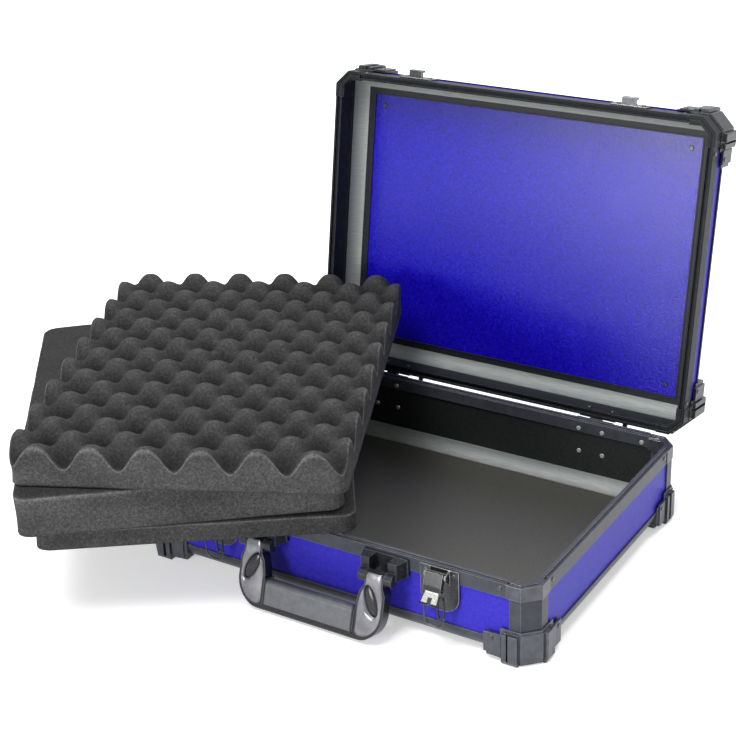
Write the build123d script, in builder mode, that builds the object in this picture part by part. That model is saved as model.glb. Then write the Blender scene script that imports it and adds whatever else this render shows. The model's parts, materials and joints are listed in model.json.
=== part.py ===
"""Laptop hard case: blue panels in anodised rails, hinged lid, two latches, handle, three foam sheets."""
from build123d import *
import math
import os
from collections import namedtuple

os.makedirs("parts", exist_ok=True)

# ---------------------------------------------------------------- driving sizes (mm)
WIDTH = 460.0  # outer width, left to right
DEPTH = 344.0  # outer depth, front to back
CORNER = 15.0  # flat cut across each upright corner
RIM_Z = 81.5  # height of the base rim above the underside of the bottom panel
RECESS = 1.5  # panels lie this far inside the outer rail faces
PANEL = 3.5  # panel thickness
LINER = 1.0  # thickness of the lining sheets
BASE_H = RIM_Z + RECESS  # base shell, rim to outer bottom
LID_H = 50.5  # lid shell, rim to outer top
RIM_GAP = 0.25  # running gap between the two rims when shut

FLANGE_T = 1.5  # outer flange of the rim rail
FLANGE_H = 15.0  # its height
WEB_H = 5.5  # solid head of the rim rail
WALL = 8.0  # wall thickness at the rim
INNER_T = 3.0  # inner flange of the rim rail
RAIL_END = 30.0  # rails stop this far from the corners
EDGE_R = 20.0  # outer radius of the quarter-round edge rails
EDGE_T = 6.5  # thickness of the edge rails
POCKET = 4.0  # depth of the panel pockets in the edge rails
MITRE_GAP = 0.05  # each mitred end is this much short
TRIM_T = 0.8  # cove trim strip
TRIM_FIT = 0.1  # cove trim stands this far off the rail
POST_LEG = 27.0  # leg length of a corner post
POST_SEAT = 17.0  # where the side panels end inside a post

TONGUE_IN = 2.6  # tongue on the base rim: first edge
TONGUE_T = 1.8
TONGUE_H = 2.6
GROOVE_IN = 2.0  # groove in the lid rim: first edge
GROOVE_T = 4.4
GROOVE_D = 3.4

HINGE_OUT = 4.3  # hinge axis behind the back face
HINGE_DROP = 4.4  # hinge axis below the base rim
OPEN_ANGLE = 99.67  # lid angle between shut and resting open
HINGE_Y = DEPTH / 2 + HINGE_OUT
HINGE_Z = RIM_Z - HINGE_DROP
HINGE_X = WIDTH / 2 - 99.0  # hinge centres, left and right
HINGE_W = 42.6
KNUCKLE_R = 3.6
PIN_R = 1.5
PIN_FIT = 0.05
LEAF_T = 1.2
LEAF_L = 47.0
LID_LEAF_L = 42.0
STOP_IN = (135.0, 66.3)  # the two lid stop tabs, in from the left and the right side

LATCH_W = 42.0
LATCH_TOP = 80.0
LATCH_BOTTOM = 33.0
LATCH_T = 1.5
LATCH_ROUND = 17.0  # lower corners of the latch plate
LEVER_W = 19.0
LEVER_FIT = 0.3  # lever to each cheek
LEVER_Y = -DEPTH / 2 - 9.0
LEVER_Z = 75.5
LEVER_TILT = 20.0  # how far the lever hangs outward at rest
LEVER_LEN = 15.5  # lever below its pivot
BAIL_DROP = 12.5  # wire bail pivot below the lever pivot
BAIL_L = 42.0
WIRE_R = 1.1

HANDLE_Y = -DEPTH / 2 - 17.4
HANDLE_Z = 61.0
HANDLE_TILT = 17.0  # how far the handle hangs outward at rest
HANDLE_X = 84.0  # outer half width
HANDLE_T = 13.0
HANDLE_ROUND = 30.0  # lower corners of the handle
ARM_TOP_IN = 60.0  # inner edge of an arm at its pivot
ARM_TOP_OUT = 80.4  # outer edge there
ARM_IN = 53.0  # inner edge of an arm beside the grip
GRIP_TOP = 33.5
GRIP_LOW = 59.0
AXLE_R = 1.75
TABLE_GAP = 0.3  # the resting handle just clears the table
ARM_FIT = 0.4  # arm to each cheek of its bracket
BRACKET_EAR = 15.0  # handle bracket beyond the slot that its arm swings in
LATCH_GAP = 12.7  # handle bracket to the latch plate beside it
LATCH_X = ARM_TOP_OUT + ARM_FIT + BRACKET_EAR + LATCH_GAP + LATCH_W / 2

FOAM_SIZES = ((316.0, 412.0), (320.0, 420.0), (332.0, 446.0))  # short and long side, bottom sheet first
FOAM_GAP = 0.3
FOAM_T = (25.0, 45.0, 45.0)  # bottom, middle and egg-crate sheet
FOAM_ROUND = 12.0  # upright corners of the flat sheets
EGG_PEAK = 24.0
EGG_COLUMN = 54.0  # spacing of the peaks across the sheet
EGG_ROW = 55.0  # and along it

Shell = namedtuple("Shell", "name plane sign height inner")

OPENING = (
    Location((0, HINGE_Y, HINGE_Z))
    * Location((0, 0, 0), (-OPEN_ANGLE, 0, 0))
    * Location((0, -HINGE_Y, -HINGE_Z))
)
BASE = Shell("base", Plane((0, 0, RIM_Z)), -1, BASE_H, 13.0)
LID = Shell("lid", Plane(OPENING * Location((0, 0, RIM_Z + RIM_GAP))), 1, LID_H, 24.0)
SIDES = {"front": (0, 1), "back": (0, -1), "left": (1, 0), "right": (-1, 0)}  # inward directions
CORNERS = {"front_left": (-1, -1), "front_right": (1, -1), "back_left": (-1, 1), "back_right": (1, 1)}


def save(builder, name):
    """Label a finished piece and write its STEP file."""
    builder.part.label = name
    export_step(builder.part, f"parts/{name}.step")


# ---------------------------------------------------------------- places on a shell
def spot(shell, x, y, d):
    """World point at plan position x, y and depth d from the rim."""
    return shell.plane.from_local_coords(Vector(x, y, shell.sign * d))


def heading(shell, x, y, z):
    """World direction of a direction given in the shell's own frame."""
    return shell.plane.from_local_coords(Vector(x, y, z)) - shell.plane.origin


def level(shell, d):
    """Plan plane parallel to the rim at depth d."""
    return shell.plane.offset(shell.sign * d)


def cross_plane(shell, x):
    """Section plane across x; points are (y, signed depth) and it faces +x."""
    return Plane(spot(shell, x, 0, 0), x_dir=heading(shell, 0, 1, 0), z_dir=heading(shell, 1, 0, 0))


def long_plane(shell, y):
    """Section plane across y; points are (x, signed depth) and it faces -y."""
    return Plane(spot(shell, 0, y, 0), x_dir=heading(shell, 1, 0, 0), z_dir=heading(shell, 0, -1, 0))


def wall_plane(shell, side):
    """Section plane at the middle of a wall; points are (n inward, signed depth)."""
    ix, iy = SIDES[side]
    inward = heading(shell, ix, iy, 0)
    return Plane(
        spot(shell, -ix * WIDTH / 2, -iy * DEPTH / 2, 0),
        x_dir=inward,
        z_dir=inward.cross(shell.plane.z_dir),
    )


def wall_length(side):
    return WIDTH if side in ("front", "back") else DEPTH


def footprint(side, depth_in, cut):
    """Plan outline of a mitred wall strip that reaches depth_in inward, corners cut off at x + y = cut."""
    ix, iy = SIDES[side]
    half = wall_length(side) / 2
    mitre = half - MITRE_GAP
    run = [
        (-half + cut, 0),
        (half - cut, 0),
        (mitre - cut / 2, cut / 2),
        (mitre - depth_in, depth_in),
        (-mitre + depth_in, depth_in),
        (-mitre + cut / 2, cut / 2),
    ]
    if ix == 0:
        return [(u, iy * (n - DEPTH / 2)) for u, n in run]
    return [(ix * (n - WIDTH / 2), u) for u, n in run]


def closed_profile(points, sign):
    """Closed polygon whose second coordinate is a depth from the rim."""
    Polygon(*[(n, sign * d) for n, d in points], align=None)


# ---------------------------------------------------------------- rails, edges, panels
def rim_rails(shell):
    """Four rim rails; the base rails carry the tongue and the lid rails the groove."""
    inner_in = WALL - INNER_T
    below = [
        (WALL, 0),
        (WALL, shell.inner),
        (inner_in, shell.inner),
        (inner_in, WEB_H),
        (FLANGE_T, WEB_H),
        (FLANGE_T, FLANGE_H),
        (0, FLANGE_H),
        (0, 0),
    ]
    if shell is BASE:
        top = [
            (TONGUE_IN, 0),
            (TONGUE_IN, -TONGUE_H),
            (TONGUE_IN + TONGUE_T, -TONGUE_H),
            (TONGUE_IN + TONGUE_T, 0),
        ]
    else:
        top = [
            (GROOVE_IN, 0),
            (GROOVE_IN, GROOVE_D),
            (GROOVE_IN + GROOVE_T, GROOVE_D),
            (GROOVE_IN + GROOVE_T, 0),
        ]
    with BuildPart() as rails:
        for side in SIDES:
            with BuildSketch(wall_plane(shell, side)):
                closed_profile(top + below, shell.sign)
            extrude(amount=wall_length(side) / 2 - RAIL_END, both=True)
    return rails


def quarter_ring(h, sign, r_out, r_in):
    """Quarter ring facing the outer edge, centred EDGE_R in from the wall and EDGE_R from the outer face."""
    c = EDGE_R
    k = math.sqrt(0.5)
    e = h - c
    out_mid = (c - r_out * k, sign * (e + r_out * k))
    in_mid = (c - r_in * k, sign * (e + r_in * k))
    with BuildLine() as ring:
        ThreePointArc((c - r_out, sign * e), out_mid, (c, sign * (e + r_out)))
        Line((c, sign * (e + r_out)), (c, sign * (e + r_in)))
        ThreePointArc((c, sign * (e + r_in)), in_mid, (c - r_in, sign * e))
        Line((c - r_in, sign * e), (c - r_out, sign * e))
    make_face(ring.edges())


def clip_to(shell, outline):
    """Keep only what stands on the given plan outline."""
    with BuildSketch(level(shell, 0)) as plan:
        Polygon(*outline, align=None)
    up = shell.plane.z_dir
    extrude(plan.sketch, amount=shell.sign * (shell.height + 5), dir=up, mode=Mode.INTERSECT)


def edge_rail(shell, side):
    """One quarter-round edge rail with a pocket for each of the two panels it joins."""
    h = shell.height
    s = shell.sign
    half = wall_length(side) / 2
    with BuildPart() as rail:
        with BuildSketch(wall_plane(shell, side)):
            quarter_ring(h, s, EDGE_R, EDGE_R - EDGE_T)
            mid = RECESS + PANEL / 2
            deep = EDGE_R - POCKET / 2
            with Locations((mid, s * (h - deep))):
                Rectangle(PANEL, POCKET, mode=Mode.SUBTRACT)
            with Locations((deep, s * (h - mid))):
                Rectangle(POCKET, PANEL, mode=Mode.SUBTRACT)
        extrude(amount=half, both=True)
        clip_to(shell, footprint(side, EDGE_R, CORNER))
    return rail


def cove_trim(shell, side):
    """Thin bright strip lining the inside of one edge rail."""
    r = EDGE_R - EDGE_T - TRIM_FIT
    with BuildPart() as strip:
        with BuildSketch(wall_plane(shell, side)):
            quarter_ring(shell.height, shell.sign, r, r - TRIM_T)
        extrude(amount=wall_length(side) / 2, both=True)
        clip_to(shell, footprint(side, EDGE_R, CORNER + 3.5))
    return strip


def group(pieces):
    """Several separate solids kept as one node."""
    with BuildPart() as whole:
        add([piece.part for piece in pieces])
    return whole


def side_panel(shell, side):
    """Flat panel between two corner posts, held by the rim rail and the edge rail."""
    half = wall_length(side) / 2 - POST_SEAT
    near = RECESS
    far = RECESS + PANEL
    low = shell.height - EDGE_R + POCKET
    with BuildPart() as panel:
        with BuildSketch(wall_plane(shell, side)):
            closed_profile([(near, WEB_H), (far, WEB_H), (far, low), (near, low)], shell.sign)
        extrude(amount=half, both=True)
    return panel


def flat_panel(shell):
    """Bottom or top panel of a shell."""
    inset = EDGE_R - POCKET
    with BuildPart() as panel:
        with BuildSketch(level(shell, shell.height - RECESS)):
            Rectangle(WIDTH - 2 * inset, DEPTH - 2 * inset)
        extrude(amount=-shell.sign * PANEL)
    return panel


def flat_liner(shell):
    """Lining sheet on the inside of the bottom panel."""
    with BuildPart() as sheet:
        with BuildSketch(level(shell, shell.height - RECESS - PANEL)):
            Rectangle(WIDTH - 2 * EDGE_R, DEPTH - 2 * EDGE_R)
        extrude(amount=-shell.sign * LINER)
    return sheet


def wall_liner(shell, side):
    """Lining sheet on the inside of a side panel, notched under the corner inserts."""
    half = wall_length(side) / 2
    near = RECESS + PANEL
    top = shell.inner
    low = shell.height - EDGE_R
    ix, iy = SIDES[side]
    inward = heading(shell, ix, iy, 0)
    origin = spot(shell, ix * (near - WIDTH / 2), iy * (near - DEPTH / 2), 0)
    along = inward.cross(shell.plane.z_dir)
    notch = max(FLANGE_H, top)
    run = [
        (-half + POST_LEG, low),
        (half - POST_LEG, low),
        (half - POST_LEG, notch),
        (half - RAIL_END, notch),
        (half - RAIL_END, top),
        (-half + RAIL_END, top),
        (-half + RAIL_END, notch),
        (-half + POST_LEG, notch),
    ]
    if notch == top:
        run = [(-half + POST_LEG, low), (half - POST_LEG, low), (half - POST_LEG, top), (-half + POST_LEG, top)]
    with BuildPart() as sheet:
        with BuildSketch(Plane(origin, x_dir=along, z_dir=along.cross(shell.plane.z_dir))):
            closed_profile(run, shell.sign)
        extrude(amount=-LINER)
    return sheet


# ---------------------------------------------------------------- corners
def plan_point(sx, sy, a, b):
    """Plan position a in from the side face and b in from the front or back face."""
    return (sx * (WIDTH / 2 - a), sy * (DEPTH / 2 - b))


def plan_prism(shell, corner, points, e_low, e_high, mode=Mode.ADD):
    """Prism on a corner outline between two heights above the outer bottom."""
    sx, sy = CORNERS[corner]
    with BuildSketch(level(shell, shell.height - e_low)) as plan:
        Polygon(*[plan_point(sx, sy, a, b) for a, b in points], align=None)
    extrude(plan.sketch, amount=-shell.sign * (e_high - e_low), dir=shell.plane.z_dir, mode=mode)


def mirrored(points):
    """Complete a corner outline with its own reflection across the corner diagonal."""
    return points + [(b, a) for a, b in reversed(points)]


def corner_post(shell, corner):
    """Upright corner post with a channel for each side panel."""
    inner = EDGE_T
    inside = RECESS + PANEL
    leg = [
        (CORNER, 0),
        (POST_LEG, 0),
        (POST_LEG, RECESS),
        (POST_SEAT, RECESS),
        (POST_SEAT, inside),
        (POST_LEG, inside),
        (POST_LEG, inner),
        (12.0, inner),
    ]
    with BuildPart() as post:
        plan_prism(shell, corner, mirrored(leg), EDGE_R, shell.height - FLANGE_H)
    return post


def corner_insert(shell, corner):
    """Ridged cap that joins two rim rails at a corner."""
    proud = 0.8
    thick = 9.5
    face = 1.5
    ridge = 0.2
    h = shell.height
    diagonal = CORNER - proud * (math.sqrt(2) - 1)
    outline = mirrored([(diagonal, -proud), (RAIL_END, -proud), (RAIL_END, thick), (15.0, thick)])
    channel = [(POST_SEAT, RECESS), (RAIL_END + 1, RECESS), (RAIL_END + 1, RECESS + PANEL)]
    channel += [(POST_SEAT, RECESS + PANEL)]
    with BuildPart() as cap:
        plan_prism(shell, corner, outline, h - FLANGE_H, h - face)
        for outer, inner in ((-proud, 1.8), (4.6, 7.4)):
            k = math.sqrt(2) - 1
            edge = [(CORNER + outer * k, outer), (RAIL_END, outer), (RAIL_END, inner), (CORNER + inner * k, inner)]
            plan_prism(shell, corner, mirrored(edge), h - face, h - ridge)
        for leg in (channel, [(b, a) for a, b in channel]):
            plan_prism(shell, corner, leg, h - FLANGE_H, h - WEB_H, Mode.SUBTRACT)
    return cap


def rounded_block(shell, corner, grow, radius, reach, top):
    """Corner of a block whose two bottom edges are rounded; grow is how far it stands outside the shell."""
    sx, sy = CORNERS[corner]
    h = shell.height
    s = shell.sign
    k = radius * (1 - math.sqrt(0.5))
    cut = CORNER - grow * (2 - math.sqrt(2))

    def profile(half, flip):
        side = [(-grow, top), (-grow, radius - grow), (-grow + k, -grow + k), (radius - grow, -grow), (reach, -grow)]
        side += [(reach, top)]
        pts = [(flip * (half - n), s * (h - e)) for n, e in side]
        with BuildLine() as outline:
            Line(pts[0], pts[1])
            ThreePointArc(pts[1], pts[2], pts[3])
            Polyline(pts[3], pts[4], pts[5], pts[0])
        make_face(outline.edges())

    with BuildPart() as block:
        with BuildSketch(cross_plane(shell, sx * (WIDTH / 2 + 20))):
            profile(DEPTH / 2, sy)
        extrude(amount=-sx * (reach + 20))
        with BuildSketch(long_plane(shell, sy * (DEPTH / 2 + 20))):
            profile(WIDTH / 2, sx)
        extrude(amount=sy * (reach + 20), mode=Mode.INTERSECT)
        far = reach + 5
        outline = [(cut + far, -far), (far, -far), (far, far), (-far, far), (-far, cut + far)]
        plan_prism(shell, corner, outline, -20, top + 5, Mode.INTERSECT)
    return block


PROT_THIN = 3.0  # protector ears
PROT_RIB = 6.0  # protector ribs
PROT_FACE = 4.4  # smooth face round the corner
PROT_SKIN = 1.4  # bottom of the grooves between them
PROT_FOOT = 3.5  # ribs carry on below the shell as feet
PROT_FIT = 0.15  # protector to shell


def protector(shell, corner):
    """Cast corner protector: a smooth corner face, two ribs a side between deep grooves, ears and feet."""
    skin = PROT_SKIN
    face = PROT_FACE
    ear = PROT_THIN
    rib = PROT_RIB
    outer = rounded_block(shell, corner, rib, 9.0, 60.0, 60.0)
    hollow = rounded_block(shell, corner, PROT_FIT, EDGE_R + PROT_FIT, 70.0, 70.0)
    k = 2 - math.sqrt(2)
    base_plate = mirrored([(CORNER - skin * k, -skin), (36.0, -skin), (36.0, 20.0)])
    corner_face = mirrored([(CORNER - face * k, -face), (13.6, -face), (13.6, 12.0)])
    under = mirrored([(14.0, -1.0), (50.0, 3.0), (50.0, 20.0), (34.0, 34.0)])
    side_shapes = (
        ([(16.4, -rib), (25.6, -rib), (25.6, 12.0), (16.4, 12.0)], -PROT_FOOT, 30.5),
        ([(28.2, -rib + 1.0), (33.4, -rib + 1.0), (33.4, 12.0), (28.2, 12.0)], -PROT_FOOT, 29.6),
        ([(35.0, -ear), (50.0, -ear), (50.0, 20.0), (35.0, 20.0)], 2.1, 27.1),
        ([(49.0, -1.3), (54.0, -1.3), (54.0, 20.0), (49.0, 20.0)], 3.6, 25.6),
        ([(16.4, -rib), (33.4, -rib + 1.0), (33.4, 40.0), (16.4, 40.0)], -PROT_FOOT, 0.0),
    )
    with BuildPart() as guard:
        plan_prism(shell, corner, base_plate, 2.4, 34.2)
        plan_prism(shell, corner, corner_face, 0.6, 31.4)
        plan_prism(shell, corner, under, -2.0, 4.0)
        for outline, low, high in side_shapes:
            plan_prism(shell, corner, outline, low, high)
            plan_prism(shell, corner, [(b, a) for a, b in outline], low, high)
        add(outer.part, mode=Mode.INTERSECT)
        add(hollow.part, mode=Mode.SUBTRACT)
    return guard


# ---------------------------------------------------------------- studs
def dome(point, direction, radius, height):
    """Rivet head standing on a surface point."""
    with BuildSketch(Plane(point, z_dir=direction)) as disc:
        RegularPolygon(radius, 12)
    extrude(disc.sketch, amount=height, taper=32)


RIVET_R = 2.8
RIVET_H = 1.0


def shell_studs(shell, spots):
    """Rivet heads at (x, y, depth) that face the shell direction (dx, dy, dz)."""
    with BuildPart() as studs:
        for x, y, d, dx, dy, dz in spots:
            dome(spot(shell, x, y, d), heading(shell, dx, dy, dz), RIVET_R, RIVET_H)
    return studs


EAR_A = 45.0  # protector rivet, distance in from the corner
EAR_E = 21.9  # and above the outer bottom
RAIL_STUD = 37.0  # rivet at a rail end, in from the corner
PANE_STUD = 40.5  # rivet at a corner of the lid pane


def common_studs(shell):
    """Rivets that both shells share: rail ends and protector ears."""
    x = WIDTH / 2
    y = DEPTH / 2
    ear = shell.height - EAR_E
    spots = []
    for sx in (-1, 1):
        for sy in (-1, 1):
            spots.append((sx * (x + PROT_THIN), sy * (y - EAR_A), ear, sx, 0, 0))
            spots.append((sx * (x - EAR_A), sy * (y + PROT_THIN), ear, 0, sy, 0))
            spots.append((sx * x, sy * (y - RAIL_STUD), 5.5, sx, 0, 0))
            spots.append((sx * (x - RAIL_STUD), sy * y, 6.0, 0, sy, 0))
    return spots


def base_studs():
    """Rivets of the base: rails, ears, latch plates and fixed hinge leaves, with their inside heads."""
    y = DEPTH / 2
    spots = common_studs(BASE)
    for s in (-1, 1):
        for t in (-1, 1):
            x_latch = s * LATCH_X + t * 15.5
            spots.append((x_latch, -y - LATCH_T, RIM_Z - 74.0, 0, -1, 0))
            x_hinge = s * HINGE_X + t * 14.0
            spots.append((x_hinge, y - RECESS + LEAF_T, 37.8, 0, 1, 0))
            spots.append((x_hinge, y - WALL, 8.8, 0, -1, 0))
            spots.append((x_hinge, y - RECESS - PANEL - LINER, 37.8, 0, -1, 0))
    spots.append((WIDTH / 2 - RAIL_STUD - 1.2, y - WALL, 8.7, 0, -1, 0))
    return shell_studs(BASE, spots)


def lid_studs():
    """Rivets of the lid: rails, ears, catches, moving hinge leaves and the corners of the inner pane."""
    y = DEPTH / 2
    spots = common_studs(LID)
    for s in (-1, 1):
        for t in (-1, 1):
            spots.append((s * LATCH_X + t * 14.5, -y - LATCH_T, 14.0, 0, -1, 0))
            x_hinge = s * HINGE_X + t * 14.0
            spots.append((x_hinge, y + LEAF_T, 9.0, 0, 1, 0))
            spots.append((x_hinge, y + LEAF_T, 28.0, 0, 1, 0))
            spots.append((x_hinge, y - WALL, 9.0, 0, -1, 0))
            spots.append((s * (WIDTH / 2 - PANE_STUD), t * (y - PANE_STUD), LID_H - RECESS - PANEL, 0, 0, -1))
    return shell_studs(LID, spots)


# ---------------------------------------------------------------- hinges
def cross_profile(points, x_mid, width, placed=None, mode=Mode.ADD):
    """Extrude a (y, z) outline to a width centred on x_mid."""
    plane = placed if placed is not None else Plane.YZ
    with BuildSketch(plane.offset(x_mid)) as section:
        Polygon(*points, align=None)
    extrude(section.sketch, amount=width / 2, both=True, mode=mode)


SHUT_LID = Plane(OPENING * Plane.YZ.location)  # lid drawn shut, then swung open with this plane
BACK = DEPTH / 2
KNUCKLE_GAP = 0.4


def barrel(x_mid, width, placed, radius, mode=Mode.ADD):
    """Round part on the hinge axis."""
    with BuildSketch(placed.offset(x_mid)) as section:
        with Locations((HINGE_Y, HINGE_Z)):
            Circle(radius)
    extrude(section.sketch, amount=width / 2, both=True, mode=mode)


def base_leaf(x_mid):
    """Fixed hinge leaf: stepped plate on the back face with the two outer knuckles."""
    top = RIM_Z - 1.0
    step = RIM_Z - FLANGE_H - 0.3
    low = RIM_Z - LEAF_L
    face = BACK - RECESS
    third = HINGE_W / 3
    plate = [
        (BACK, top),
        (BACK + LEAF_T, top),
        (BACK + LEAF_T, step - 1.5),
        (face + LEAF_T, step - 3.5),
        (face + LEAF_T, low),
        (face, low),
        (face, step),
        (BACK, step),
    ]
    with BuildPart() as leaf:
        cross_profile(plate, x_mid, HINGE_W)
        for side in (-1, 1):
            barrel(x_mid + side * third, third - KNUCKLE_GAP, Plane.YZ, KNUCKLE_R)
        slot = [(BACK - 1, HINGE_Z - 4.6), (BACK + 9, HINGE_Z - 4.6), (BACK + 9, top + 1), (BACK - 1, top + 1)]
        cross_profile(slot, x_mid, third + KNUCKLE_GAP, mode=Mode.SUBTRACT)
        barrel(x_mid, HINGE_W + 2, Plane.YZ, PIN_R + PIN_FIT, Mode.SUBTRACT)
    return leaf


def lid_leaf(x_mid):
    """Moving hinge leaf, drawn with the lid shut, with the centre knuckle."""
    rim = RIM_Z + RIM_GAP
    low = rim + 0.4
    high = rim + LID_LEAF_L
    third = HINGE_W / 3
    plate = [(BACK, low), (BACK + LEAF_T, low), (BACK + LEAF_T, high), (BACK, high)]
    arm = [
        (BACK + 0.1, HINGE_Z),
        (HINGE_Y - 1.6, HINGE_Z),
        (BACK + LEAF_T + 0.8, low),
        (BACK + LEAF_T, low + 1),
        (BACK, low + 1),
        (BACK, low),
    ]
    with BuildPart() as leaf:
        cross_profile(plate, x_mid, HINGE_W, SHUT_LID)
        cross_profile(arm, x_mid, third - KNUCKLE_GAP, SHUT_LID)
        barrel(x_mid, third - KNUCKLE_GAP, SHUT_LID, KNUCKLE_R)
        barrel(x_mid, third, SHUT_LID, PIN_R + PIN_FIT, Mode.SUBTRACT)
    return leaf


def hinge_pin(x_mid):
    """Pin through the three knuckles with a small head at each end."""
    half = HINGE_W / 2
    with BuildPart() as pin:
        barrel(x_mid, HINGE_W, Plane.YZ, PIN_R)
        for side in (-1, 1):
            barrel(x_mid + side * (half + 0.5), 1.0, Plane.YZ, 2.4)
    return pin


def stop_tabs():
    """Two bent tabs on the lid rail that meet the back face when the lid rests open."""
    rim = RIM_Z + RIM_GAP
    tab = [
        (BACK, rim + 1),
        (BACK + 4.3, rim + 1),
        (BACK + 4.3, rim - 8.1),
        (BACK + 7.3, rim - 8.1),
        (BACK + 7.3, rim + 3),
        (BACK + 2, rim + 3),
        (BACK + 2, rim + 13),
        (BACK, rim + 13),
    ]
    with BuildPart() as tabs:
        for x in (STOP_IN[0] - WIDTH / 2, WIDTH / 2 - STOP_IN[1]):
            cross_profile(tab, x, 5.0, SHUT_LID)
    return tabs


# ---------------------------------------------------------------- latches
FRONT = -DEPTH / 2


def axle(x_mid, width, y, z, radius, mode=Mode.ADD):
    """Round bar or bore along x."""
    with BuildSketch(Plane.YZ.offset(x_mid)) as section:
        with Locations((y, z)):
            Circle(radius)
    extrude(section.sketch, amount=width / 2, both=True, mode=mode)


def lever_point(down, out):
    """(y, z) of a point on the latch lever, from its pivot along the lever and out of its face."""
    c = math.cos(math.radians(LEVER_TILT))
    s = math.sin(math.radians(LEVER_TILT))
    return (LEVER_Y - down * s - out * c, LEVER_Z - down * c + out * s)


def latch_plate(x_mid):
    """Plate riveted across rail and panel, with two cheeks and the lever axle."""
    height = LATCH_TOP - LATCH_BOTTOM
    mid = (LATCH_TOP + LATCH_BOTTOM) / 2
    cheek_in = LEVER_W / 2 + LEVER_FIT
    with BuildPart() as plate:
        with BuildSketch(Plane.XZ.offset(-FRONT)):
            with Locations((x_mid, mid)):
                outline = Rectangle(LATCH_W, height)
            fillet(outline.vertices().group_by(Axis.Y)[0], LATCH_ROUND)
            fillet(outline.vertices().group_by(Axis.Y)[-1], 2.0)
        extrude(amount=LATCH_T)
        pad_top = RIM_Z - FLANGE_H - 0.3
        pad_low = LATCH_BOTTOM + 4.0
        with BuildSketch(Plane.XZ.offset(-FRONT - RECESS)):
            with Locations((x_mid, (pad_top + pad_low) / 2)):
                RectangleRounded(LATCH_W - 14.0, pad_top - pad_low, 8.0)
        extrude(amount=RECESS)
        cheek = [
            (FRONT - LATCH_T, LEVER_Z - 12),
            (LEVER_Y - 1.5, LEVER_Z - 3.4),
            (LEVER_Y - 2.6, LEVER_Z),
            (LEVER_Y - 1.5, LEVER_Z + 2.6),
            (FRONT - LATCH_T, LEVER_Z + 3.4),
        ]
        for side in (-1, 1):
            cross_profile(cheek, x_mid + side * (cheek_in + 0.75), 1.5)
        axle(x_mid, 2 * cheek_in + 3.6, LEVER_Y, LEVER_Z, 1.5)
        for side in (-1, 1):
            axle(x_mid + side * (cheek_in + 1.8), 0.6, LEVER_Y, LEVER_Z, 2.3)
    return plate


def latch_lever(x_mid):
    """Black over-centre lever with bores for its axle and for the wire bail."""
    heel = ((-2.6, -2.4), (-4.4, -0.5), (-4.4, 2.6), (-3.0, 4.0))
    shape = heel + ((10.0, 4.3), (LEVER_LEN, 3.6), (LEVER_LEN, -1.8), (1.5, -2.4))
    with BuildPart() as lever:
        cross_profile([lever_point(d, n) for d, n in shape], x_mid, LEVER_W)
        axle(x_mid, LEVER_W + 2, LEVER_Y, LEVER_Z, 1.5 + PIN_FIT, Mode.SUBTRACT)
        y, z = lever_point(BAIL_DROP, 0)
        axle(x_mid, LEVER_W + 2, y, z, WIRE_R + PIN_FIT, Mode.SUBTRACT)
    return lever


def latch_tip(x_mid):
    """Bright finger tip that flares outward below the lever: notched, with a rolled lower edge."""
    top = LEVER_LEN
    sheet = ((top, 0.9), (top + 1.4, 0.9), (top + 14.6, 7.0), (top + 14.0, 8.6), (top + 0.8, 2.5), (top, 2.5))
    notch = ((top + 7.0, -2.0), (top + 12.0, 1.5), (top + 9.0, 12.0), (top + 4.0, 9.0))
    with BuildPart() as tip:
        cross_profile([lever_point(d, n) for d, n in sheet], x_mid, LEVER_W)
        cross_profile([lever_point(d, n) for d, n in notch], x_mid, 6.0, mode=Mode.SUBTRACT)
        y, z = lever_point(top + 14.3, 7.8)
        axle(x_mid, LEVER_W, y, z, 1.4)
    return tip


def wire_bail(x_mid):
    """Bent wire loop that hangs from the lever; its ends turn in to the lever bores."""
    y, z = lever_point(BAIL_DROP, 0)
    leg = LEVER_W / 2 + 0.4 + WIRE_R
    low = z - BAIL_L
    with BuildPart() as bail:
        with BuildLine() as path:
            Polyline((x_mid - leg + 4.0, y, z), (x_mid - leg, y, z), (x_mid - leg, y, low + 8.0))
            Polyline((x_mid - leg, y, low + 8.0), (x_mid - leg + 2.4, y, low + 2.4), (x_mid - leg + 8.0, y, low))
            Line((x_mid - leg + 8.0, y, low), (x_mid + leg - 8.0, y, low))
            Polyline((x_mid + leg - 8.0, y, low), (x_mid + leg - 2.4, y, low + 2.4), (x_mid + leg, y, low + 8.0))
            Polyline((x_mid + leg, y, low + 8.0), (x_mid + leg, y, z), (x_mid + leg - 4.0, y, z))
        with BuildSketch(Plane((x_mid - leg + 4.0, y, z), z_dir=(-1, 0, 0))):
            RegularPolygon(WIRE_R, 8)
        sweep(path=path.wires()[0], transition=Transition.RIGHT)
    return bail


def lid_catch(x_mid):
    """Hooked block on the lid rail that takes the wire bail, drawn with the lid shut."""
    rim = RIM_Z + RIM_GAP
    step = rim + FLANGE_H + 0.3
    plate = [
        (FRONT, rim + 5),
        (FRONT, step),
        (FRONT + RECESS, step),
        (FRONT + RECESS, rim + 22),
        (FRONT - LATCH_T, rim + 22),
        (FRONT - LATCH_T, rim + 5),
    ]
    hook = [
        (FRONT - LATCH_T, rim + 5.5),
        (FRONT - 10, rim + 5.5),
        (FRONT - 10, rim + 14),
        (FRONT - 7.6, rim + 14),
        (FRONT - 7.6, rim + 9),
        (FRONT - LATCH_T, rim + 9),
    ]
    with BuildPart() as catch:
        cross_profile(plate, x_mid, 41.0, SHUT_LID)
        cross_profile(hook, x_mid, 16.0, SHUT_LID)
    return catch


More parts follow.
